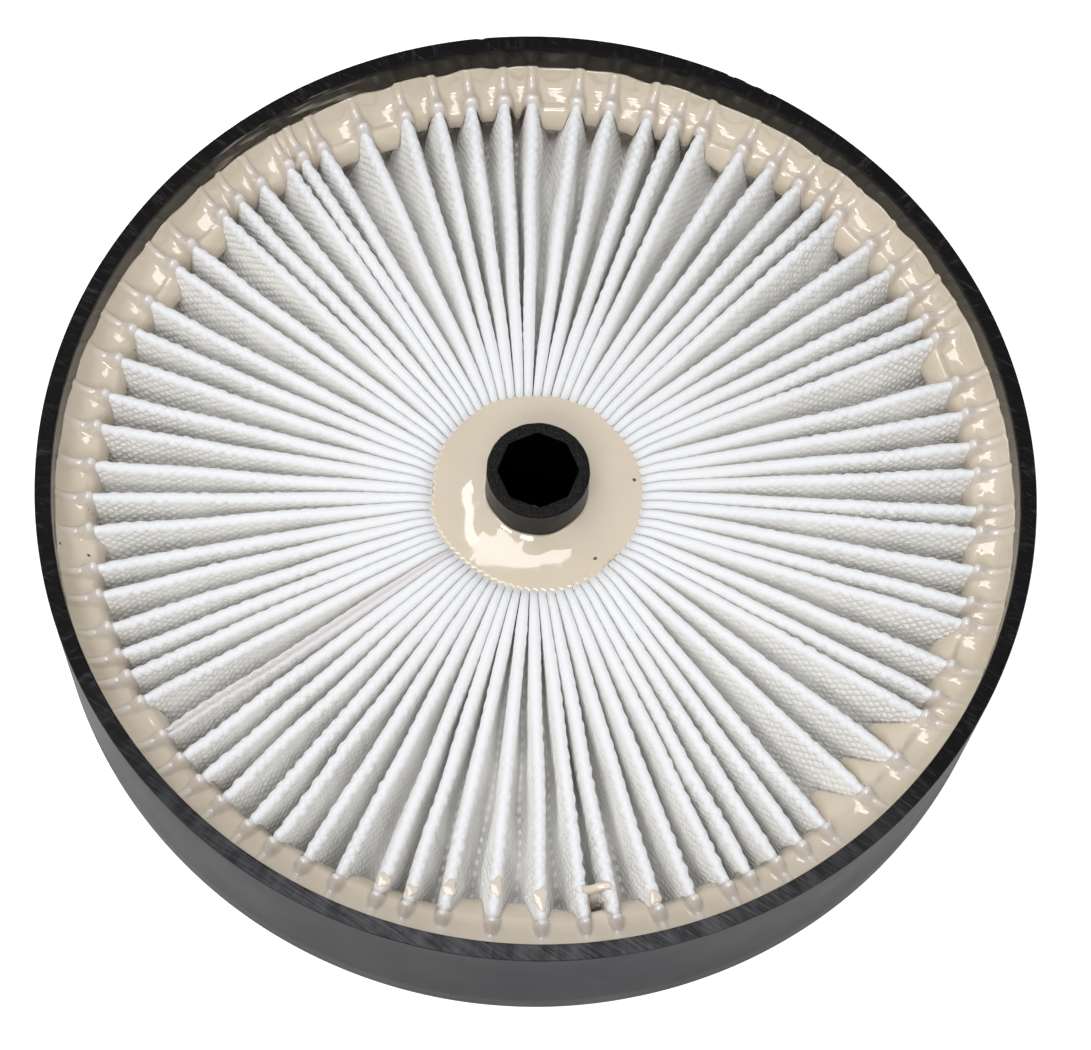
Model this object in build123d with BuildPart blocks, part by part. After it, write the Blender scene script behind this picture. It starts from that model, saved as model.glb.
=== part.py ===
from build123d import *
from math import cos, pi, radians, sin
import os

# Flat pleated filter element.  Z is the axis of the ring and the flow direction, the
# origin is at the middle of the ring's lower land, and pleat 0 points along +X.

# ---- driving dimensions, millimetres and degrees ----
ring_od = 160.0             # outside of the pipe that the ring is sawn from
ring_wall = 2.6             # pipe wall
ring_height = 30.4          # sawn length of the ring, and of the tube in its middle
ring_edge = 0.25            # broken outer corners of the sawn ends

tube_od = 16.6              # centre tube, outside
bore_flats = 12.0           # eight-sided bore, across its flats
bore_turn = 6.0             # turn of the bore's first corner from +X
bore_corner = 0.8           # rounded corners of the bore

pleat_count = 79            # folds seen from above
pleat_recess = 8.0          # from the ring's ends to the folds
media_thickness = 0.45      # filter cloth
fold_width = 2.1            # across the round of a fold, at the rim
hub_fill = 0.83             # share of the round at the hub that the folds take up there
fold_rounding = 0.4         # corners taken off the upper folds, as a share of their width at the hub
valley_round = 0.25         # rounding of the folds on the lower side

rim_band = 5.4              # resin between the ring and the outer pleat ends, radially
rim_level = 9.0             # from the ring's ends to the rim resin between two pleats
rim_climb = 3.5             # how far the rim resin climbs the ring's inner wall
rim_meniscus = 2.4          # width of that climb
resin_coat = 0.5            # resin over the end of each pleat
coat_flats = 3              # flats that make up the round of that coat
hub_potting_od = 33.8       # resin disc round the tube
hub_level = 9.4             # from the ring's ends to the hub resin
hub_climb = 2.2             # how far the hub resin climbs the tube
hub_meniscus = 2.6          # width of that climb

# How the pleats were pushed together round the rim, one digit for each gap, going
# anticlockwise from pleat 0: 6 is an even gap, 3 a tight one, 9 a wide one.
gap_pattern = (
    "4756694566" "8456685576" "8566688436" "5485866767"
    "6675654575" "5565667568" "8757664555" "989468467"
)
gap_smoothing = 8           # pleats each side that share their gaps evenly at the hub
lean_mean = 2.0             # turn of a pleat's hub end against its rim end
lean_swing = 3.5            # how much that turn varies round the pack
lean_peak = 130.0           # where it is greatest
seam_index = 49             # the pleat in which the two ends of the strip are glued
seam_groove = 0.5           # width of the groove that is left along it
seam_groove_depth = 0.3
trim_allowance = 0.4        # the folds are made this much long, then trimmed round

# ---- worked out from them ----
ring_radius = ring_od / 2
ring_inner_radius = ring_radius - ring_wall
tube_radius = tube_od / 2
hub_radius = hub_potting_od / 2
rim_radius = ring_inner_radius - rim_band
fold_top = ring_height - pleat_recess
fold_bottom = pleat_recess
hub_pitch = pi * hub_potting_od / pleat_count
fold_width_hub = hub_fill * hub_pitch
fold_round = fold_rounding * fold_width_hub
rim_top = ring_height - rim_level
hub_top = ring_height - hub_level
mid_plane = Plane.XY.offset(ring_height / 2)


def direction(angle):
    """Unit vector at an angle round the axis."""
    return Vector(cos(radians(angle)), sin(radians(angle)), 0)


def rim_angle(i):
    """Where pleat i meets the rim; pleat_count further on is one turn further round."""
    gaps = [int(gap_pattern[k % len(gap_pattern)]) for k in range(pleat_count)]
    turns, place = divmod(i, pleat_count)
    return 360 * (turns + sum(gaps[:place]) / sum(gaps))


def hub_angle(i):
    """Where pleat i meets the hub: the gaps are evened out there, and the pack leans."""
    shared = range(i - gap_smoothing, i + gap_smoothing + 1)
    even = sum(rim_angle(k) for k in shared) / len(shared)
    return even + lean_mean + lean_swing * cos(radians(even - lean_peak))


def fold_line(i):
    """Hub end and rim end, in plan, of the fold of pleat i."""
    hub = direction(hub_angle(i)) * (hub_radius - trim_allowance)
    rim = direction(rim_angle(i)) * (rim_radius + trim_allowance)
    return hub, rim


folds = [fold_line(i) for i in range(pleat_count)]


def cross_plane(place, fold):
    """Plane across a fold: X sideways, Y up."""
    along = (fold[1] - fold[0]).normalized()
    return Plane(origin=place, x_dir=Vector(0, 0, 1).cross(along), z_dir=along)


def bars(hub_width, rim_width):
    """Plan of the bars that lie along the folds, wider at the rim than at the hub."""
    for fold in folds:
        near, far = (cross_plane(place, fold) for place in fold)
        Polygon(
            near.from_local_coords((-hub_width / 2, 0)),
            near.from_local_coords((hub_width / 2, 0)),
            far.from_local_coords((rim_width / 2, 0)),
            far.from_local_coords((-rim_width / 2, 0)),
            align=None,
        )


def long_edges(part, lowest, highest):
    """The edges that run all the way from the hub to the rim, between two heights."""
    run = (rim_radius - hub_radius) / 2
    return part.edges().filter_by(
        lambda edge: edge.length > run
        and edge.geom_type == GeomType.LINE
        and lowest < edge.center().Z < highest
    )


def annulus(outer, inner):
    """Plan of a flat ring."""
    Circle(outer)
    Circle(inner, mode=Mode.SUBTRACT)


# ---- ring: a length of pipe ----
with BuildPart() as outer_ring:
    with BuildSketch():
        annulus(ring_radius, ring_inner_radius)
    extrude(amount=ring_height)
    chamfer(outer_ring.faces().filter_by(GeomType.CYLINDER).sort_by(SortBy.RADIUS)[-1].edges()
            .filter_by(GeomType.CIRCLE), ring_edge)

# ---- centre tube: round outside, eight-sided bore ----
with BuildPart() as center_tube:
    with BuildSketch():
        Circle(tube_radius)
    extrude(amount=ring_height)
    chamfer(center_tube.edges().filter_by(GeomType.CIRCLE), ring_edge)
    with BuildSketch() as bore:
        RegularPolygon(bore_flats / 2, 8, major_radius=False, rotation=bore_turn)
        fillet(bore.vertices(), bore_corner)
    extrude(amount=ring_height, mode=Mode.SUBTRACT)

# ---- filter cloth: one closed strip, folded into pleats that run from the hub to the rim ----
with BuildPart() as pleated_media:
    with BuildSketch(Plane.XY.offset(fold_bottom)):
        bars(fold_width_hub, fold_width)
    extrude(amount=fold_top - fold_bottom)
    chamfer(long_edges(pleated_media, fold_bottom, ring_height), fold_round)
    with BuildSketch(Plane.XY.offset(fold_bottom)):
        annulus(rim_radius + trim_allowance, hub_radius - trim_allowance)
    extrude(amount=media_thickness, clean=False)
    with BuildSketch(Plane.XY):
        annulus(rim_radius, hub_radius)
    extrude(amount=ring_height, mode=Mode.INTERSECT, clean=False)
    with BuildSketch(Plane.XY.offset(fold_bottom)):
        bars(fold_width_hub - 2 * media_thickness, fold_width - 2 * media_thickness)
    extrude(amount=fold_top - fold_bottom - media_thickness, mode=Mode.SUBTRACT, clean=False)
    chamfer(long_edges(pleated_media, 0, fold_bottom + valley_round), valley_round)
    seam = folds[seam_index % pleat_count]
    for place in seam:
        with BuildSketch(cross_plane(place, seam)):
            with BuildLine():
                Polyline(
                    (-seam_groove / 2, fold_top),
                    (0, fold_top - seam_groove_depth),
                    (seam_groove / 2, fold_top),
                    close=True,
                )
            make_face()
    loft(ruled=True, mode=Mode.SUBTRACT, clean=False)

# ---- rim resin: climbs the ring's wall, and coats the end of each pleat ----
coat_radius = fold_width / 2 + resin_coat
coat_top = fold_top + resin_coat
with BuildPart() as rim_potting:
    with BuildSketch(Plane.XZ):
        with BuildLine():
            Polyline(
                (rim_radius, ring_height / 2),
                (rim_radius, rim_top),
                (ring_inner_radius - rim_meniscus, rim_top),
                (ring_inner_radius, rim_top + rim_climb),
                (ring_inner_radius, ring_height / 2),
                close=True,
            )
        make_face()
    revolve(axis=Axis.Z)
    mirror(about=mid_plane)
    for fold in folds:
        with BuildSketch(cross_plane(fold[1], fold)):
            with BuildLine():
                turns = [pi * k / coat_flats for k in range(coat_flats + 1)]
                Polyline(
                    (coat_radius, rim_top - resin_coat),
                    *[(coat_radius * cos(t), coat_top - coat_radius + coat_radius * sin(t)) for t in turns],
                    (-coat_radius, rim_top - resin_coat),
                    close=True,
                )
            make_face()
    extrude(amount=rim_band - rim_meniscus / 2, clean=False)
    with BuildSketch(Plane.XY):
        annulus(ring_inner_radius, rim_radius)
    extrude(amount=ring_height, mode=Mode.INTERSECT, clean=False)

# ---- hub resin: a disc that climbs the tube ----
with BuildPart() as hub_potting:
    with BuildSketch(Plane.XZ):
        with BuildLine():
            level = Polyline(
                (tube_radius, hub_top + hub_climb),
                (tube_radius, ring_height / 2),
                (hub_radius, ring_height / 2),
                (hub_radius, hub_top),
                (tube_radius + hub_meniscus, hub_top),
            )
            Line(level @ 1, level @ 0)
        make_face()
    revolve(axis=Axis.Z)
    mirror(about=mid_plane)

# ---- hand over ----
os.makedirs("parts", exist_ok=True)
pieces = {
    "outer_ring": outer_ring,
    "center_tube": center_tube,
    "pleated_media": pleated_media,
    "rim_potting": rim_potting,
    "hub_potting": hub_potting,
}
for name, piece in pieces.items():
    piece.part.label = name
    export_step(piece.part, f"parts/{name}.step")
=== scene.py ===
"""Flat pleated filter element: looks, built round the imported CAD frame."""
import math
import bpy
import numpy as np
from mathutils import Matrix, Vector


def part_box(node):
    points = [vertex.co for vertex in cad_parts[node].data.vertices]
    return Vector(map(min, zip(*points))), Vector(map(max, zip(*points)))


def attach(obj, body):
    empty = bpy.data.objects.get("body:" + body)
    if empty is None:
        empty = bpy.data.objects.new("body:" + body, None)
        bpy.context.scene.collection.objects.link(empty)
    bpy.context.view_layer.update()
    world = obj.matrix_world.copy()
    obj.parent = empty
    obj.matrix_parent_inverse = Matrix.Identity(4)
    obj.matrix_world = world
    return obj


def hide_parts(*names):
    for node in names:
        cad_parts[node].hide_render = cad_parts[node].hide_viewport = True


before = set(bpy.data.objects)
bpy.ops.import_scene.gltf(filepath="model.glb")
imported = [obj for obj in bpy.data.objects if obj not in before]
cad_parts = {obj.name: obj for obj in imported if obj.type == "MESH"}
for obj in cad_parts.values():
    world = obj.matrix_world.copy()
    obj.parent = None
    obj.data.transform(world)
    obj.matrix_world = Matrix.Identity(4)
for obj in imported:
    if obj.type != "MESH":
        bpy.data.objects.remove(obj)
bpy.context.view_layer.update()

# ---------------------------------------------------------------- sizes, in millimetres
MM = 0.001


def corners(node):
    """Lowest and highest corner of a CAD node, in millimetres."""
    low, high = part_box(node)
    return np.array(low) / MM, np.array(high) / MM


ring_high = corners("outer_ring")[1]
tube_high = corners("center_tube")[1]
media_low, media_high = corners("pleated_media")
rim_high = corners("rim_potting")[1]
hub_high = corners("hub_potting")[1]

height = float(ring_high[2])
ring_radius = float(ring_high[0])
wall_radius = float(rim_high[0])       # inner wall of the ring
tube_radius = float(tube_high[0])
hub_radius = float(hub_high[0])        # where the pleats leave the hub resin
rim_radius = float(media_high[0])      # where they meet the rim resin
fold_top = float(media_high[2])
fold_bottom = float(media_low[2])

media_thickness = 0.45
rim_climb = 3.5                        # how far the rim resin climbs the ring's wall
hub_climb = 2.2                        # how far the hub resin climbs the tube
bore_flats = 12.0                      # eight-sided bore, across its flats
bore_turn = 6.0                        # its first corner, in degrees from +X

# The pleats' places, as in the part's source: 6 is an even gap at the rim, 3 a tight one.
GAPS = (
    "4756694566" "8456685576" "8566688436" "5485866767"
    "6675654575" "5565667568" "8757664555" "989468467"
)
gaps = np.array([int(digit) for digit in GAPS], float)
pleats = len(gaps)
gap_smoothing = 8                      # pleats each side that share their gaps evenly at the hub
lean_mean, lean_swing, lean_peak = 2.0, 3.5, 130.0     # turn of the hub ends, in degrees
seam_pleat = 49                        # in this one the strip's two ends are glued
bridge_pleat = 62                      # a thread of resin bridges the gap after this one
flood_azimuth = 326.0                  # degrees; where the rim resin ran furthest in between the pleats

# steps round a fold's crest, down a wall and round a valley, and points round one whole fold
crest_steps, wall_steps, valley_steps = 7, 3, 4
fold_points = crest_steps + valley_steps + 2 * (wall_steps - 1)


def rim_angles(index):
    """Azimuth in degrees at which pleats meet the rim, for any whole index."""
    turns, place = np.divmod(index, pleats)
    return 360 * (turns + np.concatenate([[0], np.cumsum(gaps)])[place] / gaps.sum())


def hub_angles(index):
    """Azimuth in degrees at which pleats meet the hub."""
    shared = np.arange(-gap_smoothing, gap_smoothing + 1)
    even = rim_angles(index[:, None] + shared).mean(axis=1)
    return even + lean_mean + lean_swing * np.cos(np.radians(even - lean_peak))


# both ends of every fold line in radians, with the first pleat a turn on at the end
at_rim = np.radians(rim_angles(np.arange(pleats + 1)))
at_hub = np.radians(hub_angles(np.arange(pleats + 1)))


def fold_azimuth(radius):
    """Azimuth at which the fold lines cross these radii: a row for each radius."""
    hub = hub_radius * np.exp(1j * at_hub)
    run = rim_radius * np.exp(1j * at_rim) - hub
    # the share of the run at which a line has this radius, from its quadratic equation
    a = abs(run) ** 2
    b = (hub * run.conj()).real
    share = (-b + np.sqrt(b * b - a * (hub_radius**2 - radius**2))) / a
    point = hub + share * run
    return at_rim + np.angle(point * np.exp(-1j * at_rim))


# ---------------------------------------------------------------- functions of place
def smoothstep(low, high, x):
    """0 at low and 1 at high, with a soft start and end."""
    t = np.clip((x - low) / (high - low), 0, 1)
    return t * t * (3 - 2 * t)


def bell(x, width):
    """1 where x is 0, and next to nothing two widths away."""
    return np.exp(-((x / width) ** 2))


def soft_max(a, b, softness):
    """The larger of two heights, with a rounded crease where they meet."""
    return softness * np.logaddexp(a / softness, b / softness)


def waves(seed, count, shortest, longest):
    """Smooth random function of two coordinates: plane waves of mixed direction and length."""
    rng = np.random.default_rng(seed)
    length = rng.uniform(shortest, longest, count)
    heading = rng.uniform(0, 2 * np.pi, count)
    phase = rng.uniform(0, 2 * np.pi, count)

    def field(x, y):
        total = 0
        for size, way, start in zip(length, heading, phase):
            total = total + np.sin(2 * np.pi * (x * np.cos(way) + y * np.sin(way)) / size + start)
        return total / np.sqrt(count)

    return field


def turning_waves(turns, phase, azimuth):
    """Smooth function of the azimuth: waves that each go a whole number of times round."""
    return np.sin(np.outer(turns, azimuth) + phase[:, None]).sum(axis=0) / math.sqrt(len(turns))


def polar(radius, azimuth, z):
    """Points from polar grids."""
    return np.stack([radius * np.cos(azimuth), radius * np.sin(azimuth), z], -1)


def columns_by_pleat(steps, ends):
    """Azimuths that divide every gap alike, each with its pleat number and its place in the gap."""
    which = np.repeat(np.arange(pleats), steps)
    place = np.tile(np.arange(steps) / steps, pleats)
    return ends[which] * (1 - place) + ends[which + 1] * place, which, place


# ---------------------------------------------------------------- meshes
def neighbours(columns):
    """Every column of a closed grid, and the next one round."""
    j = np.arange(columns)
    return j, (j + 1) % columns


def ring_grid(columns, rows, base=0, flip=False):
    """Quads of a grid that is closed round its columns."""
    j, k = neighbours(columns)
    i = np.arange(rows - 1)[:, None] * columns
    quads = np.stack([i + j, i + k, i + columns + k, i + columns + j], -1).reshape(-1, 4) + base
    return quads[:, ::-1] if flip else quads


def loop_grid(columns, rows, flip=False):
    """The same, with the last row joined to the first as well."""
    j, k = neighbours(columns)
    last = (rows - 1) * columns
    closing = np.stack([j + last, k + last, k, j], -1)
    return np.concatenate([ring_grid(columns, rows, 0, flip), closing[:, ::-1] if flip else closing])


def make_piece(name, node, slot, material, points, quads, marks, tris=()):
    """Mesh object from points in millimetres, with its marks as attributes, riding on the one body."""
    mesh = bpy.data.meshes.new(name)
    faces = [tuple(face) for part in (quads, tris) for face in np.asarray(part).tolist()]
    mesh.from_pydata((points * MM).tolist(), [], faces)
    for key, values in marks.items():
        kind, field = ("FLOAT_VECTOR", "vector") if values.ndim == 2 else ("FLOAT", "value")
        layer = mesh.attributes.new(key, kind, "POINT")
        layer.data.foreach_set(field, values.astype(np.float32).ravel())
    mesh.polygons.foreach_set("use_smooth", [True] * len(mesh.polygons))
    mesh.validate()
    mesh.update()
    mesh.materials.append(material)
    piece = bpy.data.objects.new(name, mesh)
    bpy.context.scene.collection.objects.link(piece)
    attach(piece, "root")
    if node:
        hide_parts(node)


# ---------------------------------------------------------------- filter cloth
def cloth_section(stations):
    """Radius, azimuth, height and facing of the sheet's middle, a row for each station from hub to rim."""
    rng = np.random.default_rng(5)
    into_resin = 0.6
    r = hub_radius + (rim_radius + into_resin - hub_radius) * np.linspace(0, 1, stations)[:, None] ** 0.8
    share = (r - hub_radius) / (rim_radius - hub_radius)
    pitch = 2 * np.pi * r / pleats
    held = np.clip(np.minimum(share / 0.15, (1 - share) / 0.1), 0, 1)     # 0 where an end is cast in
    free = np.clip((pitch - 1.3) / 3, 0, 1)                               # 0 where the folds touch

    def wander(size, shortest, longest):
        """Random waves along every pleat, of this size and between these lengths."""
        count = 4
        length = rng.uniform(shortest, longest, (count, pleats))
        phase = rng.uniform(0, 2 * np.pi, (count, pleats))
        total = np.sin(2 * np.pi * r[:, None] / length + phase).sum(axis=1)
        return size * total / math.sqrt(count)

    # where every crest and the valley after it run
    lines = fold_azimuth(r)
    before, after = lines[:, :-1], lines[:, 1:]
    crest = before + (wander(0.10, 18, 50) * held + wander(0.08, 2.0, 3.6)) * free / r
    valley = (before + after) / 2 + wander(0.22, 14, 40) * held * free / r

    # how wide the folds are rounded, with the scalloped edge of every crest
    beat = rng.uniform(2.1, 2.7, pleats)
    start = rng.uniform(0, 2 * np.pi, pleats)
    is_seam = np.arange(pleats) == seam_pleat
    scallop = (1 + 0.16 * np.sin(2 * np.pi * r / beat + start)) * np.where(is_seam, 1.1, 1)
    room = (after - before) * r
    room = np.minimum(room, np.roll(room, 1, axis=1))
    bend_crest = 0.74 - 0.24 * smoothstep(rim_radius - 4, rim_radius, r)
    bend_crest = np.minimum(bend_crest, 0.46 * room - media_thickness / 2)
    bend_crest = bend_crest * (1 + (scallop - 1) * free)
    bend_valley = np.minimum(0.55, pitch / 4)

    # how high the folds stand; they dip into the hub resin
    slack = media_thickness / 2 + 0.12
    top = fold_top - slack + wander(0.09, 9, 30) * held
    top = top - 1.15 * smoothstep(hub_radius + 3.2, hub_radius, r)
    low = fold_bottom + slack + wander(0.08, 9, 30) * held
    both = bend_crest + bend_valley
    rise = top - low - both

    def slant(half):
        """Lean of a wall from upright, for this half gap between a crest and a valley."""
        reach = np.hypot(half, rise)
        return np.arctan2(half, rise) - np.arcsin(np.clip(both / reach, -1, 1))

    right = slant(r * (valley - crest))
    left = slant(r * (after - valley))
    bulge_right = wander(0.16, 16, 50) * held * free
    bulge_left = wander(0.16, 16, 50) * held * free
    hollow = 0.22 * held * free

    across, up, facing = [], [], []

    def put(azimuth, z, angle):
        across.append(azimuth)
        up.append(z)
        facing.append(angle)

    def put_wall(a1, z1, angle, bulge):
        """From the last point to this one, bulged along the wall's normal."""
        a0, z0 = across[-1], up[-1]
        for step in range(1, wall_steps):
            u = step / wall_steps
            push = (bulge - hollow * np.sin(2 * np.pi * u)) * np.sin(np.pi * u)
            azimuth = a0 * (1 - u) + a1 * u + push * np.cos(angle) / r
            put(azimuth, z0 * (1 - u) + z1 * u + push * np.sin(angle), angle)

    def valley_point(angle):
        return valley - bend_valley * np.cos(angle) / r, low + bend_valley - bend_valley * np.sin(angle)

    for step in range(crest_steps):
        u = step / (crest_steps - 1)
        angle = (np.pi - np.roll(left, 1, axis=1)) * (1 - u) + right * u
        z = top - bend_crest + bend_crest * np.sin(angle)
        groove = 0.7 * is_seam * free * (step == crest_steps // 2)
        put(crest + bend_crest * np.cos(angle) / r, z - groove, angle)
    put_wall(*valley_point(right), right, bulge_right)
    for step in range(valley_steps):
        u = step / (valley_steps - 1)
        angle = right * (1 - u) + (np.pi - left) * u
        put(*valley_point(angle), angle)
    turn_on = np.where(np.arange(pleats) == pleats - 1, 2 * np.pi, 0)
    next_crest = np.roll(across[0], -1, axis=1) + turn_on, np.roll(up[0], -1, axis=1)
    put_wall(*next_crest, np.pi - left, bulge_left)
    return r, *(np.stack(part, -1).reshape(stations, -1) for part in (across, up, facing))


def cloth_marks(r, a, z):
    """For the embossed net: distance from the axis, distance along the strip from the nearest crest, and
    share of the pack's height. For the seam: 1 in the groove of the glued pleat, less beside it.
    """
    per_fold = (len(r), pleats, fold_points)
    fold_length = 31.5                 # of cloth, on average
    a_next = np.concatenate([a[:, 1:], a[:, :1] + 2 * np.pi], axis=1)
    z_next = np.roll(z, -1, axis=1)
    step = np.hypot((a_next - a) * r, z_next - z).reshape(per_fold)
    before = np.cumsum(step, axis=2) - step
    middle_of_crest = before[:, :, crest_steps // 2][..., None]
    share = abs(before - middle_of_crest) / step.sum(axis=2, keepdims=True)
    along = np.minimum(share, 1 - share) * fold_length
    shift = np.random.default_rng(6).uniform(0, 1.8, pleats)
    shift = np.where(share < 0.5, shift[:, None], np.roll(shift, -1)[:, None])
    depth = (z - fold_bottom) / (fold_top - fold_bottom)
    sheet = np.stack([r + shift.reshape(a.shape), along.reshape(a.shape), depth], -1).reshape(-1, 3)
    seam = np.zeros(per_fold)
    seam[:, seam_pleat, :crest_steps] = 0.35
    seam[:, seam_pleat, crest_steps // 2] = 1
    return sheet, seam.ravel()


def cloth():
    """The whole closed strip with a real thickness, finer on its upper side than on its lower one."""
    upper_stations, lower_stations = 66, 17
    upper = cloth_section(upper_stations)
    lower = cloth_section(lower_stations)

    def side(section, push):
        r, a, z, facing = section
        return polar(r, a + push * np.cos(facing) / r, z + push * np.sin(facing)).reshape(-1, 3)

    points = np.concatenate([side(upper, media_thickness / 2), side(lower, -media_thickness / 2)])
    columns = pleats * fold_points
    base = upper_stations * columns
    far = base - columns
    low = len(points) - columns
    j, k = neighbours(columns)
    quads = [
        ring_grid(columns, upper_stations, flip=True),
        ring_grid(columns, lower_stations, base),
        np.stack([j, k, k + base, j + base], -1),
        np.stack([k + far, j + far, j + low, k + low], -1),
    ]
    sheet, seam = cloth_marks(*upper[:3])
    plain = np.full((len(points) - base, 3), (30.0, 0.4, 0.5))     # no net on the lower side
    marks = {"sheet": np.concatenate([sheet, plain]), "seam": np.concatenate([seam, 0 * plain[:, 0]])}
    return points, np.concatenate(quads), marks


# ---------------------------------------------------------------- resin at the rim
def rim_resin():
    """Resin from the pleat ends to the ring: a bead and a rib over each end, bowls and tongues between."""
    azimuth, which, place = columns_by_pleat(21, at_rim)
    gap = gaps[which]
    width = 2 * np.pi * rim_radius * gap / gaps.sum()
    flood = bell(azimuth - math.radians(flood_azimuth), 0.30)
    front_side = bell(azimuth - 1.5 * np.pi, 0.7)
    back_side = bell(azimuth - 0.5 * np.pi, 0.8)
    rows = 22
    u = np.linspace(0, 1, rows)[:, None]

    def around(seed, count, shortest, longest):
        """Smooth random function of the azimuth, with waves between these lengths."""
        pick = np.random.default_rng(seed)
        turns = np.round(2 * np.pi * wall_radius / pick.uniform(shortest, longest, count))
        return turning_waves(turns, pick.uniform(0, 2 * np.pi, count), azimuth)

    def per_pleat(seed, low, high):
        """One random number per pleat, eased from one pleat to the next."""
        value = np.random.default_rng(seed).uniform(low, high, pleats)
        ease = smoothstep(0, 1, place)
        return value[which] * (1 - ease) + np.roll(value, -1)[which] * ease

    def surface(seed, shift):
        """Radius, height, whiteness and painted shade of one side, from the wall inwards, as if it faced up.
        """
        phase = (place + shift) % 1
        off = np.minimum(phase, 1 - phase)              # 0 at a pleat's end, 0.5 between two
        bridged = (which == bridge_pleat) * (shift == 0)

        # how far in it reaches: a tongue between two pleats, longer in a wide gap
        lip = 0.7
        reach = lip + 0.8 * np.clip(gap - 5.8, 0, 4) + 0.3 * around(seed, 5, 6, 30)
        reach = reach + 4.0 * flood * np.clip((gap - 4) / 4, 0, 1) + 2.0 * front_side + 4.0 * bridged
        tongue = smoothstep(0.1, 0.3 + 0.2 * flood, off)
        front = rim_radius - lip - (reach - lip) * tongue
        r = wall_radius - (wall_radius - front) * (0.55 * u + 0.45 * u**1.8)
        aside = off * width * r / rim_radius            # distance from the nearest pleat's line

        # between two pleats: a bowl, and a slope down to the tongue's tip
        bowl = 1 - (1 - np.clip(off / 0.5, 0, 1)) ** 2
        deep = per_pleat(seed + 6, 0.75, 1.25) * np.clip(gap / 6, 0.8, 1.3)
        deep = deep * smoothstep(rim_radius - 0.6, rim_radius + 0.9, r) * (1 - 0.65 * front_side)
        level = rim_high[2] - rim_climb + 0.10 + 0.12 * around(seed + 1, 6, 5, 25)
        level = level - 0.95 * deep * bowl * smoothstep(wall_radius - 0.2, wall_radius - 2.4, r)
        slope = np.clip((rim_radius + 1.2 - r) / (rim_radius + 1.2 - front), 0, 1)
        valley = level - (3.4 + 1.5 * flood) * slope**1.6 * tongue - 0.9 * slope**4

        # over a pleat's end: a bead, and a rib that sinks towards the wall
        ridge = fold_top + 0.15 + 0.5 * per_pleat(seed + 2, 0.1, 1.0)
        bead = bell(r - rim_radius - 0.3, 0.75) * per_pleat(seed + 3, 0.5, 0.95) * (1 + 0.5 * front_side)
        sink = per_pleat(seed + 5, 0.2, 0.9) + 0.9 * front_side
        sink = sink * smoothstep(rim_radius + 0.9, rim_radius + 2.6, r)
        tip = np.clip((rim_radius - 0.1 - r) / 0.6, 0, 1) ** 2 * 1.6
        narrow = 0.8 - 0.45 * back_side + 0.7 * smoothstep(rim_radius + 0.8, rim_radius + 3.6, r)
        rib = ridge + bead - sink - tip - narrow * (0.35 * aside**2 + aside**4)

        z = soft_max(valley, rib, 0.18)
        lift = rim_climb * (0.86 + 0.16 * around(seed + 4, 7, 4, 18)) * np.exp(-(wall_radius - r) / 1.45)
        z = z + np.clip(lift, 0, None)
        # beside the thread of resin the tongue has a hole
        hole = bridged * smoothstep(0.25, 0.33, off) * smoothstep(1.15, 0.95, abs(r - 69.2))
        z = np.minimum(z - 3.5 * hole, rim_high[2])
        fade = 0.55 * smoothstep(wall_radius - 0.6, wall_radius - 3.0, r)
        white = bell(aside, 1.15) * np.maximum(bell(r - rim_radius - 0.1, 1.3), fade)
        # the hole's mask also marks where shade is painted
        return r, z, white, hole + 0 * z

    top_r, top_z, top_white, top_painted_shade = surface(20, 0.0)
    coarse = [*range(0, rows - 1, 2), rows - 1]
    low_r, low_z, low_white = (part[coarse] for part in surface(60, 0.5)[:3])
    low_z = height - low_z

    # the face between the two sides, undercut at the back, with painted shade in the undercut
    steps = np.linspace(0, 1, 6)[1:-1, None]
    hollow = back_side * per_pleat(90, 0.6, 2.4)
    face_r = top_r[-1] * (1 - steps) + low_r[-1] * steps + (hollow - 0.2) * np.sin(np.pi * steps)
    face_z = top_z[-1] * (1 - steps) + low_z[-1] * steps
    face_painted_shade = np.minimum(hollow, 1) * (0.5 + 0.5 * np.sin(np.pi * steps))
    r = np.concatenate([top_r, face_r, low_r[::-1]])
    z = np.concatenate([top_z, face_z, low_z[::-1]])
    marks = {
        "white": np.concatenate([top_white, 0 * face_r, low_white[::-1]]).ravel(),
        "painted_shade": np.concatenate([top_painted_shade, face_painted_shade, 0 * low_white]).ravel(),
    }
    return polar(r, azimuth, z).reshape(-1, 3), loop_grid(len(azimuth), len(r), flip=True), marks


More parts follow.
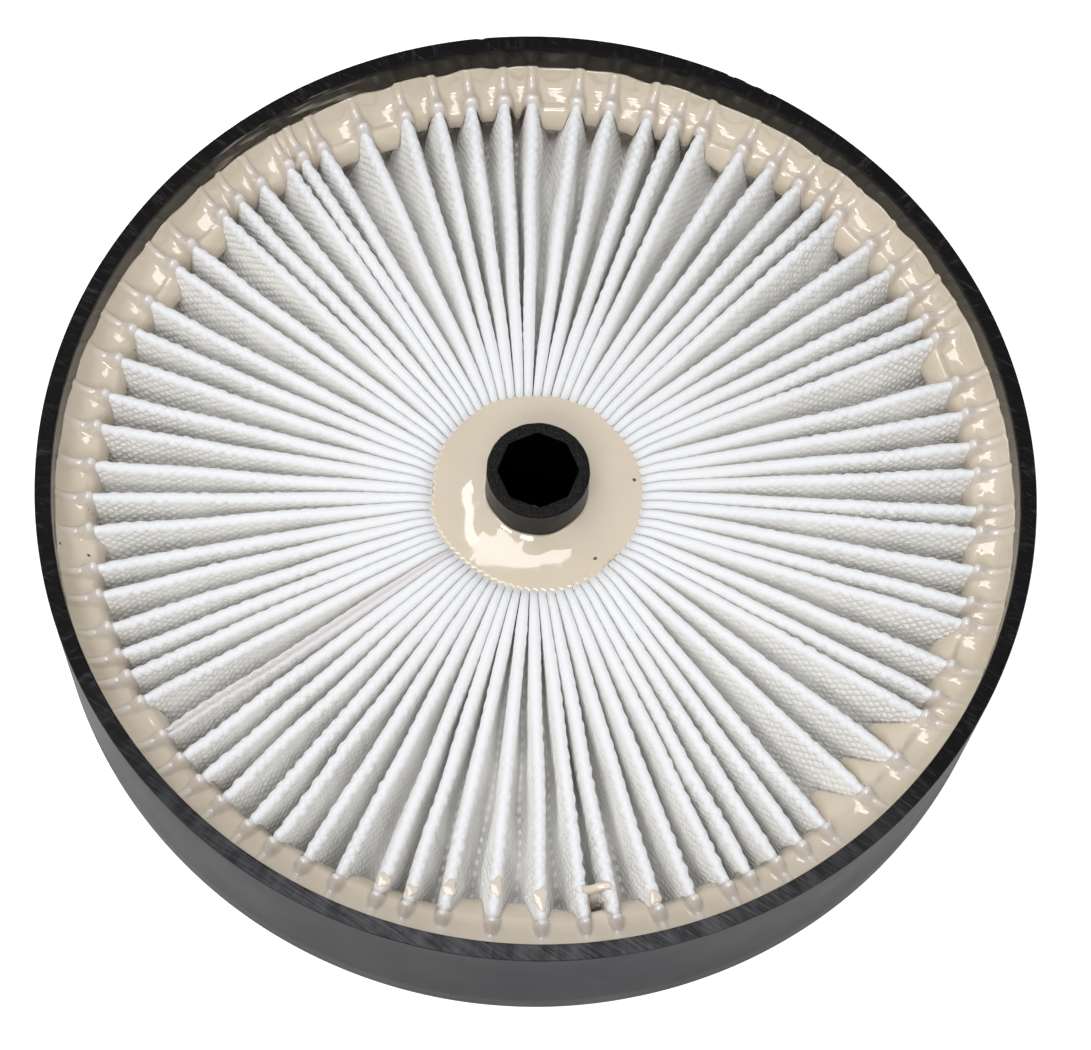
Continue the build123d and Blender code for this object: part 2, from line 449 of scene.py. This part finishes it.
# ---------------------------------------------------------------- resin at the hub
def hub_resin():
    """Resin disc round the tube, wavy at its edge and where it climbs the tube."""
    azimuth, _, place = columns_by_pleat(10, at_hub)
    u = np.linspace(0, 1, 26)[:, None]
    level = hub_high[2] - hub_climb

    def around(seed, count, most):
        """Smooth random function of the azimuth, with fewer than this many waves round."""
        pick = np.random.default_rng(seed)
        turns = pick.integers(1, most, count)
        return turning_waves(turns, pick.uniform(0, 2 * np.pi, count), azimuth)

    def surface(seed, shift):
        """Radius and height of one side, from the tube outwards, as if it faced up."""
        between = abs((place + shift) % 1 - 0.5) * 2    # 0 at a fold, 1 between two
        edge = hub_radius + 0.45 + 0.30 * around(seed, 5, 9) + 0.10 * around(seed + 7, 5, 40) + 0.2 * between
        r = tube_radius + (edge - tube_radius) * u
        z = level + 0.12 + 0.10 * around(seed + 2, 5, 7) * np.sin(np.pi * u)
        z = z + hub_climb * (0.9 + 0.1 * around(seed + 1, 5, 9)) * np.exp(-((r - tube_radius) / 2.9))
        z = z + 0.10 * around(seed + 3, 6, 12) * bell(r - tube_radius - 1.6, 1.3)
        z = z + 0.12 * smoothstep(0.8, 0.1, edge - r) * between
        z = z - 0.6 * smoothstep(0.3, 0.0, edge - r) ** 2
        return r, z

    top_r, top_z = surface(31, 0.5)
    low_r, low_z = surface(47, 0.0)
    r = np.concatenate([top_r, low_r[::-1]])
    z = np.concatenate([top_z, height - low_z[::-1]])
    return polar(r, azimuth, z).reshape(-1, 3), loop_grid(len(azimuth), len(r)), {}


# ---------------------------------------------------------------- the pipe ring and the tube
def revolved(rows, azimuth, place):
    """Closed mesh from rows of (number, height, part); place says where a row really runs."""
    r, z = (np.stack(part) for part in zip(*map(place, rows)))
    part_of = np.repeat([part for _, _, part in rows], len(azimuth))
    marks = {
        "land": np.isin(part_of, ("land", "edge", "between")).astype(float),
        "inside": np.isin(part_of, ("inside", "bore")).astype(float),
    }
    return polar(r, azimuth, z).reshape(-1, 3), loop_grid(len(azimuth), len(rows)), marks


def pipe_ring():
    """Length of pipe with sawn lands, worn edges and a film of resin on its inner wall."""
    azimuth = np.linspace(0, 2 * np.pi, 1440, endpoint=False)
    saw = waves(3, 14, 0.9, 4.5)
    broad = waves(4, 6, 20, 90)
    edge_wear = waves(8, 12, 1.5, 9)
    chips = [                          # azimuth and half width in degrees, depth
        (66.2, 0.35, 1.0), (68.4, 0.5, 0.8), (71.0, 0.3, 1.1),
        (102, 0.25, 0.6), (205, 0.3, 0.5), (341, 0.3, 0.7),
    ]
    chips = [(math.radians(at), math.radians(half), depth) for at, half, depth in chips]
    mark_azimuth = math.radians(278.8)     # of the narrow cut across the land
    film_start, film_end = (116, 122), (143, 136)     # degrees from none to full, on either side
    rows = [(ring_radius, z, "side") for z in (0.3, 5, 10, 15, 20, 25, height - 0.5, height - 0.22)]
    rows += [(ring_radius - inset, height, "edge") for inset in (0.12, 0.3)]
    rows += [(r, height, "land") for r in np.linspace(ring_radius - 0.6, wall_radius + 0.35, 7)]
    rows += [(wall_radius + 0.12, height - 0.02, "land")]
    rows += [(wall_radius, z, "inside") for z in (height - 0.25, 29, 27.5, 26, 24.5, 20, 10, 4, 0.25)]
    rows += [(wall_radius + inset, 0.0, "foot") for inset in (0.2, 1.2)]
    rows += [(ring_radius - inset, 0.0, "foot") for inset in (0.9, 0.25)]

    def place(row):
        radius, level, part = row
        r = np.full_like(azimuth, radius)
        z = np.full_like(azimuth, level)
        x, y = azimuth * ring_radius, r * 0.35
        if part in ("land", "edge"):
            z = z - 0.055 - 0.03 * np.clip(saw(x, y), -1, 2)
            z = z - 0.05 * np.clip(edge_wear(x, y) - 0.9, 0, 2) * (1 if part == "edge" else 0.3)
            z = z - 0.3 * bell(azimuth - mark_azimuth - 0.002 * r, 0.0025)
        if part == "side":
            r = r - 0.02 - 0.02 * np.clip(broad(x, z * 0.4), -1, 1)
        if part == "edge" or (part == "side" and level > height - 0.3):
            chipped = sum(depth * bell(azimuth - at, half) for at, half, depth in chips)
            z = z - 0.45 * chipped
            r = r - 0.35 * chipped
        return r, z

    points, quads, marks = revolved(rows, azimuth, place)
    turn = np.degrees(np.arctan2(points[:, 1], points[:, 0]))
    marks["smear"] = marks["inside"] * smoothstep(*film_start, turn) * smoothstep(*film_end, turn)
    return points, quads, marks


def bore_radius(azimuth):
    """Eight flats with rounded corners."""
    corner = 1.068                     # distance of the corners from the axis, against that of the flats
    turn = np.mod(azimuth - math.radians(bore_turn), np.pi / 4) - np.pi / 8
    return np.minimum(bore_flats / 2 / np.cos(turn), bore_flats / 2 * corner)


def centre_tube():
    """Tube, round outside, with an eight-sided bore and a rough sawn end."""
    azimuth = np.linspace(0, 2 * np.pi, 384, endpoint=False)
    inner = bore_radius(azimuth)
    broken = tube_radius - 0.2         # where the end's broken corner starts
    rough = waves(21, 10, 0.6, 3)
    rows = [(tube_radius, z, "side") for z in (0.3, 4, 7, 15, 22, 24, 26, 28, height - 0.45, height - 0.25)]
    rows += [(broken, height - 0.04, "land")]
    rows += [(share, height, "between") for share in (0.8, 0.6, 0.4, 0.2, 0.06)]
    rows += [(0, z, "bore") for z in (height - 0.2, height - 1.2, 22, 12, 2, 0.25)]
    rows += [(share, 0.0, "between") for share in (0.1, 0.9)]

    def place(row):
        number, level, part = row      # the number is a radius, or a share of the wall
        z = np.full_like(azimuth, level)
        r = inner
        if part == "between":
            r = inner + (broken - inner) * number
        elif part != "bore":
            r = np.full_like(azimuth, number)
        x = azimuth * tube_radius
        if part in ("land", "between") and level > 0:
            z = z - 0.06 - 0.05 * np.clip(rough(x, r), -1, 2)
        if part == "side":
            r = r - 0.02 - 0.02 * np.clip(rough(x, z), -1, 1)
        return r, z

    return revolved(rows, azimuth, place)


# ---------------------------------------------------------------- drops and a thread of resin
def glue_drops():
    """A thread of resin between two pleats, and drops on the folds beside it."""
    crest = fold_top - 0.15
    # of each drop: pleat, share of the gap after it, radius, half length, half width, half height
    drops = [
        (60, 0.02, 66.6, 1.52, 0.935, 0.22), (60, 0.98, 68.2, 1.805, 1.105, 0.275),
        (59, 0.03, 67.9, 1.33, 1.02, 0.22), (57, 0.02, 69.6, 1.14, 1.02, 0.22),
        (58, 0.01, 69.8, 0.95, 0.935, 0.22), (64, 0.0, 70.2, 1.14, 0.935, 0.22),
    ]
    columns, drop_rows, thread_rows = 32, 14, 25
    rng = np.random.default_rng(41)
    around = np.linspace(0, 2 * np.pi, columns, endpoint=False)
    down = np.linspace(0.04, np.pi - 0.04, drop_rows)[:, None]
    j, k = neighbours(columns)
    points, quads, tris = [], [], []
    base = 0
    for pleat, share, r, long, wide, tall in drops:
        azimuth = at_rim[pleat] * (1 - share) + at_rim[pleat + 1] * share
        bulge = 1 + 0.18 * np.sin(3 * around + rng.uniform(0, 6))
        bulge = bulge + 0.04 * np.sin(5 * around + rng.uniform(0, 6))
        x = long * np.sin(down) * np.cos(around) * bulge
        y = wide * np.sin(down) * np.sin(around) * bulge
        z = tall * np.cos(down) + 0 * x
        body = polar(r + x, azimuth + y / r, crest + z).reshape(-1, 3)
        poles = polar(np.full(2, r), np.full(2, azimuth), crest + np.array([tall, -tall]))
        points.append(np.concatenate([body, poles]))
        quads.append(ring_grid(columns, drop_rows, base, flip=True))
        last = base + len(body) - columns
        top_pole = base + len(body) + 0 * j
        tris.append(np.stack([base + j, base + k, top_pole], -1))
        tris.append(np.stack([last + k, last + j, top_pole + 1], -1))
        base += len(points[-1])

    # the thread: a sagging round bar
    u = np.linspace(0, 1, thread_rows)[:, None]
    azimuth = at_rim[bridge_pleat] * (1 - u) + at_rim[bridge_pleat + 1] * u
    thick = 0.6 - 0.1 * abs(2 * u - 1) ** 3
    r = 67.0 + 1.2 * thick * np.cos(around) + 0.15 * np.sin(7 * u)
    z = crest + 0.1 - 0.55 * np.sin(np.pi * u) + thick * np.sin(around)
    points.append(polar(r, azimuth + 0 * r, z).reshape(-1, 3))
    quads.append(ring_grid(columns, thread_rows, base))
    points = np.concatenate(points)
    marks = {"white": np.full(len(points), 0.15), "painted_shade": np.zeros(len(points))}
    return points, np.concatenate(quads), marks, np.concatenate(tris)


# ---------------------------------------------------------------- shader nodes
class Nodes:
    """Short ways to add nodes to a shader tree."""

    def __init__(self, tree):
        self.tree = tree

    def add(self, kind, **settings):
        node = self.tree.nodes.new(kind)
        for key, value in settings.items():
            setattr(node, key, value)
        return node

    def feed(self, socket, value):
        """Link an output to a socket, or set the socket to a constant."""
        if isinstance(value, bpy.types.NodeSocket):
            self.tree.links.new(value, socket)
        else:
            socket.default_value = value

    def node(self, kind, *values, **settings):
        """A node whose first inputs get these values."""
        node = self.add(kind, **settings)
        for socket, value in zip(node.inputs, values):
            self.feed(socket, value)
        return node

    def math(self, operation, a, b=0.0, clamp=False):
        return self.node("ShaderNodeMath", a, b, operation=operation, use_clamp=clamp).outputs[0]

    def plus(self, a, b, clamp=False):
        return self.math("ADD", a, b, clamp)

    def times(self, a, b):
        return self.math("MULTIPLY", a, b)

    def ramp(self, value, low, high, start=0.0, end=1.0):
        """From start to end while the value goes from low to high, and level outside them."""
        return self.node("ShaderNodeMapRange", value, low, high, start, end).outputs[0]

    def shown(self, mirrored_share):
        """1 for a ray from the camera, mirrored_share for a mirrored one, 0 for light on a matt surface."""
        rays = self.add("ShaderNodeLightPath").outputs
        mirrored = self.plus(rays["Is Glossy Ray"], rays["Is Transmission Ray"])
        return self.plus(rays["Is Camera Ray"], self.times(mirrored, mirrored_share), clamp=True)


class Shader(Nodes):
    """A material with a Principled shader; a viewer that can't read its nodes sees its plain inputs."""

    def __init__(self, name, **inputs):
        self.material = bpy.data.materials.new(name)
        self.material.use_nodes = True
        super().__init__(self.material.node_tree)
        self.bsdf = next(n for n in self.tree.nodes if n.type == "BSDF_PRINCIPLED")
        for key, value in inputs.items():
            self.set(key.replace("_", " "), value)
        self.place = self.add("ShaderNodeTexCoord").outputs["Object"]

    def set(self, key, value):
        self.feed(self.bsdf.inputs[key], value)

    def attribute(self, name, output="Fac"):
        return self.add("ShaderNodeAttribute", attribute_name=name).outputs[output]

    def noise(self, scale, detail=3.0, rough=0.5, vector=None, stretch=None):
        """Cloudy noise, with the scale as spots per metre."""
        vector = vector or self.place
        if stretch:
            mapping = self.node("ShaderNodeMapping", vector)
            mapping.inputs["Scale"].default_value = stretch
            vector = mapping.outputs[0]
        node = self.node("ShaderNodeTexNoise", vector)
        node.inputs["Scale"].default_value = scale
        node.inputs["Detail"].default_value = detail
        node.inputs["Roughness"].default_value = rough
        return node.outputs["Fac"]

    def mix(self, share, a, b):
        """Blend of two colours."""
        node = self.add("ShaderNodeMix", data_type="RGBA")
        self.feed(node.inputs["Factor"], share)
        for key, color in (("A", a), ("B", b)):
            self.feed(node.inputs[key], color if isinstance(color, bpy.types.NodeSocket) else (*color, 1))
        return node.outputs["Result"]

    def bump(self, value, strength, distance, before=None):
        """Normal of a relief of this height in metres, over an earlier one."""
        node = self.add("ShaderNodeBump")
        node.inputs["Strength"].default_value = strength
        node.inputs["Distance"].default_value = distance
        self.feed(node.inputs["Height"], value)
        if before:
            self.feed(node.inputs["Normal"], before)
        return node.outputs[0]


# ---------------------------------------------------------------- materials of the pieces
def cloth_material():
    """Soft white felt, embossed with a net of diamonds about 1.9 mm from corner to corner."""
    s = Shader("filter_cloth", Roughness=0.8, Specular_IOR_Level=0.2, Sheen_Weight=1.0, Sheen_Roughness=0.5)
    # painted light: the walls are lighter than the crests, most of all deep down
    painted_light_deep_wall, painted_light_upper_wall, painted_dim_crest = (0.99, 0.985, 0.965), (0.90, 0.885, 0.85), (0.79, 0.805, 0.83)
    glued, shaded = (0.60, 0.53, 0.54), (0.62, 0.59, 0.54)
    net_out, net_along = 1.7, 1.55     # radians for each millimetre out and along
    out, along, depth = s.node("ShaderNodeSeparateXYZ", s.attribute("sheet", "Vector")).outputs

    # the net: two sets of slanting lines, a little bent
    drift = s.times(s.noise(60, 2.0), 2.2)
    a = s.plus(s.times(out, net_out), s.times(along, net_along))
    b = s.math("SUBTRACT", s.times(out, net_out), s.times(along, net_along))
    a = s.math("ABSOLUTE", s.math("SINE", s.plus(a, drift)))
    b = s.math("ABSOLUTE", s.math("SINE", s.plus(b, drift)))
    net = s.math("POWER", s.times(a, b), 0.6)

    # it is clearest towards the rim, in patches, and pressed flat on the crests
    patch = s.ramp(s.noise(120, 2.0), 0.35, 0.65, 0.45, 1.0)
    clear = s.times(s.ramp(out, 22.0, 68.0, 0.25, 1.0), patch)
    # painted light: though the cloth is one colour, the crests get a dimmer, bluer band and the walls a
    # lighter, warmer colour the deeper they lie. This stands in for light that passes through the thin cloth
    # and bounces in the valleys
    upper = s.plus(depth, s.ramp(out, 21.5, 17.5, 0.0, 0.09))
    crest = s.ramp(s.plus(upper, s.times(net, 0.06)), 0.945, 0.985)
    base = s.mix(crest, s.mix(s.ramp(depth, 0.6, 0.93), painted_light_deep_wall, painted_light_upper_wall), painted_dim_crest)
    base = s.mix(s.attribute("seam"), base, glued)
    hollow = s.times(s.times(s.ramp(net, 0.85, 0.15), clear), s.ramp(crest, 0.0, 1.0, 0.9, 0.12))
    s.set("Base Color", s.mix(hollow, base, shaded))
    relief = s.times(s.times(net, clear), s.ramp(crest, 0.0, 1.0, 1.0, 0.4))
    fibres = s.noise(2600, 4.0, 0.65)
    s.set("Normal", s.bump(fibres, 0.2, 0.00006, s.bump(relief, 0.9, 0.00042)))
    return s.material


def resin_material():
    """Glossy cast resin: beige, whiter over the pleat ends, painted dark as shade in the hole and the
    undercut, with a few specks.
    """
    s = Shader("potting_resin", Roughness=0.07, IOR=1.55, Coat_Weight=1.0, Coat_Roughness=0.03, Coat_IOR=1.6)
    beige, light_beige, over_cloth = (0.60, 0.515, 0.40), (0.66, 0.575, 0.46), (0.74, 0.70, 0.71)
    hole, speck = (0.13, 0.10, 0.07), (0.05, 0.04, 0.035)
    base = s.mix(s.ramp(s.noise(45), 0.35, 0.7), beige, light_beige)
    base = s.mix(s.times(s.attribute("white"), 0.85), base, over_cloth)
    # painted shade in the hole beside the thread and in the undercut at the back
    base = s.mix(s.attribute("painted_shade"), base, hole)
    s.set("Base Color", s.mix(s.ramp(s.noise(420, 1.0, 0.4), 0.80, 0.82), base, speck))
    s.set("Roughness", s.ramp(s.noise(90, 2.0), 0.3, 0.7, 0.05, 0.12))
    s.set("Normal", s.bump(s.noise(330, 2.0), 0.12, 0.0003))
    return s.material


def pipe_material(name, roughness, radius, inner_gloss, inner_color, sawn):
    """Black pipe plastic: satin outside, glossier inside; where sawn is 1, its land is rough and streaked,
    and painted lighter at the front as a sheen.
    """
    s = Shader(name, Roughness=0.4)
    black, faded, shade = (0.0065, 0.0066, 0.0095), (0.0125, 0.0128, 0.0175), (0.004, 0.004, 0.004)
    cut_black, cut_sheen_dark, cut_sheen_grey = (0.0022, 0.0022, 0.0024), (0.025, 0.025, 0.027), (0.075, 0.075, 0.082)
    streak_grey, film_beige = (0.07, 0.07, 0.074), (0.30, 0.27, 0.23)
    land, inside = s.attribute("land"), s.attribute("inside")

    # the azimuth as a point on a circle, so that streaks run radially and have no seam
    x, y, z = s.node("ShaderNodeSeparateXYZ", s.place).outputs
    flat = s.node("ShaderNodeCombineXYZ", x, y).outputs[0]
    unit = s.node("ShaderNodeVectorMath", flat, operation="NORMALIZE").outputs[0]
    out = s.node("ShaderNodeVectorMath", flat, operation="LENGTH").outputs["Value"]
    unit_x, unit_y, _ = s.node("ShaderNodeSeparateXYZ", unit).outputs

    def wrapped(out_share, up_share):
        """Place on the circle, with these shares of the distance from the axis and of the height."""
        depth = s.plus(s.times(out, out_share), s.times(z, up_share))
        point = (s.times(unit_x, radius * MM), s.times(unit_y, radius * MM), depth)
        return s.node("ShaderNodeCombineXYZ", *point).outputs[0]

    cloud = s.noise(38, 4.0, 0.6)
    streak = s.noise(1100, 4.0, 0.65, vector=wrapped(0.3, 0.1))
    coarse = s.noise(300, 3.0, 0.6, vector=wrapped(0.35, 0.3))
    grit = s.noise(2200, 4.0, 0.7)
    turned = s.node("ShaderNodeMapping", s.place)
    turned.inputs["Rotation"].default_value = (0, 0, 0.5)
    scratch = s.noise(2300, 3.0, 0.6, vector=turned.outputs[0], stretch=(0.07, 1.0, 0.1))

    # the pipe's own skin, with painted shade darker near the floor
    base = s.mix(s.ramp(cloud, 0.3, 0.7), black, faded)
    base = s.mix(inside, base, inner_color)
    low = s.ramp(s.plus(z, s.times(cloud, 0.006)), 0.004, 0.012, 0.55, 1.0)
    base = s.mix(s.math("SUBTRACT", 1.0, low), base, shade)

    # the land: painted greyer at the front as a sheen, mottled by wear there, with pale streaks, scratches or
    # specks
    front = s.ramp(s.plus(unit_y, s.times(cloud, 0.2)), -0.45, -0.85)
    worn_and_sheen = s.ramp(s.plus(s.times(coarse, 0.5), s.times(scratch, 0.5)), 0.42, 0.58)
    cut = s.mix(s.times(front, sawn), cut_black, s.mix(worn_and_sheen, cut_sheen_dark, cut_sheen_grey))
    pale = s.times(s.ramp(streak, 0.52, 0.80), s.ramp(coarse, 0.42, 0.62))
    pale = s.plus(s.times(pale, 0.6), s.ramp(scratch, 0.6, 0.74, 0.0, 0.5), clamp=True)
    specks = s.ramp(s.noise(3200, 3.0, 0.7), 0.45, 0.75, 0.0, 0.4 * (1.0 - sawn))
    pale = s.plus(s.times(pale, 0.25 + 0.75 * sawn), specks, clamp=True)
    base = s.mix(land, base, s.mix(pale, cut, streak_grey))

    # a film of resin on the inner wall
    film = s.ramp(s.noise(90, 3.0, 0.6, vector=wrapped(1.0, 6.0)), 0.50, 0.66)
    s.set("Base Color", s.mix(s.times(film, s.attribute("smear")), base, film_beige))

    s.set("Specular IOR Level", s.ramp(inside, 0.0, 1.0, 0.09, inner_gloss))
    rough = s.plus(s.ramp(cloud, 0.3, 0.7, roughness, roughness + 0.1), s.times(land, 0.04))
    s.set("Roughness", s.math("SUBTRACT", rough, s.times(inside, roughness - 0.1)))
    brushed = s.bump(s.noise(420, 3.0, 0.6, vector=wrapped(1.0, 6.0)), 0.10, 0.0002)
    saw_marks = s.times(s.plus(streak, s.times(grit, 0.5)), land)
    s.set("Normal", s.bump(saw_marks, 0.7, 0.0003, brushed))
    return s.material


def floor_material():
    """Pale matt floor that the camera sees as white, but that lights the piece no more than paint would."""
    s = Shader("floor", Roughness=0.9, Base_Color=(0.8, 0.8, 0.8, 1), Specular_IOR_Level=0.0)
    away = s.node("ShaderNodeVectorMath", s.place, operation="LENGTH").outputs["Value"]
    outside = s.math("GREATER_THAN", away, 0.97 * ring_radius * MM)
    s.set("Emission Color", (1, 1, 1, 1))
    s.set("Emission Strength", s.times(s.times(s.shown(0.35), outside), 0.6))
    return s.material


cloth_look = cloth_material()
resin_look = resin_material()
ring_look = pipe_material("ring_plastic", 0.34, ring_radius, 0.22, (0.005, 0.004, 0.0035), 1.0)
tube_look = pipe_material("tube_plastic", 0.26, tube_radius, 0.0, (0.0012, 0.0012, 0.0012), 0.0)

make_piece("filter_cloth", "pleated_media", "filter_cloth", cloth_look, *cloth())
make_piece("rim_resin", "rim_potting", "potting_resin", resin_look, *rim_resin())
make_piece("hub_resin", "hub_potting", "potting_resin", resin_look, *hub_resin())
make_piece("glue_drops", None, "potting_resin", resin_look, *glue_drops())
make_piece("pipe_ring", "outer_ring", "ring_plastic", ring_look, *pipe_ring())
make_piece("centre_tube", "center_tube", "tube_plastic", tube_look, *centre_tube())

# ---------------------------------------------------------------- floor, world and lamps, in metres
bpy.ops.mesh.primitive_plane_add(size=6, location=(0, 0, 0))
floor = bpy.context.object
floor.name = "floor"
floor.data.materials.append(floor_material())

world = bpy.data.worlds.new("studio")
bpy.context.scene.world = world
world.use_nodes = True
sky = world.node_tree.nodes["Background"].inputs
sky["Color"].default_value = (1, 1, 1, 1)
studio = Nodes(world.node_tree)
light_level, seen_level = 0.6, 1.0
studio.feed(sky["Strength"], studio.ramp(studio.shown(0.2), 0.0, 1.0, light_level, seen_level))


def softbox(name, place, width, depth, watts):
    """Rectangular lamp, aimed at the middle of the element."""
    lamp = bpy.data.lights.new(name, "AREA")
    lamp.shape = "RECTANGLE"
    lamp.size, lamp.size_y = width, depth
    lamp.energy = watts
    item = bpy.data.objects.new(name, lamp)
    bpy.context.scene.collection.objects.link(item)
    item.location = place
    item.rotation_euler = (Vector((0, 0, 0.02)) - Vector(place)).to_track_quat("-Z", "Y").to_euler()


softbox("key_light", (-0.13, -0.1, 0.9), 0.46, 0.5, 2.3)
softbox("front_light", (-0.1, -0.6, 0.78), 0.5, 0.3, 3.0)
softbox("side_light", (-0.34, 0.24, 0.85), 0.14, 0.4, 0.7)

# ---------------------------------------------------------------- camera
tilt = math.radians(67.82)             # of the view from level
roll = math.radians(5.426)
away, aside, above = 6.0836, 0.0246, -0.1086     # from the middle of the upper land, in ring radii
back = Vector((0, -math.cos(tilt), math.sin(tilt)))
right = Vector((1, 0, 0))
up = Vector((0, math.sin(tilt), math.cos(tilt)))
eye = Vector((0, 0, height * MM)) + ring_radius * MM * (back * away + right * aside + up * above)
side = right * math.cos(roll) + up * math.sin(roll)
over = up * math.cos(roll) - right * math.sin(roll)
lens = bpy.data.cameras.new("camera")
lens.lens = 100.58
lens.sensor_width = 36
lens.clip_start = 0.05
camera = bpy.data.objects.new("camera", lens)
camera.matrix_world = Matrix((
    (side.x, over.x, back.x, eye.x),
    (side.y, over.y, back.y, eye.y),
    (side.z, over.z, back.z, eye.z),
    (0, 0, 0, 1),
))
bpy.context.scene.collection.objects.link(camera)
bpy.context.scene.camera = camera

bpy.context.scene.view_settings.view_transform = "Standard"
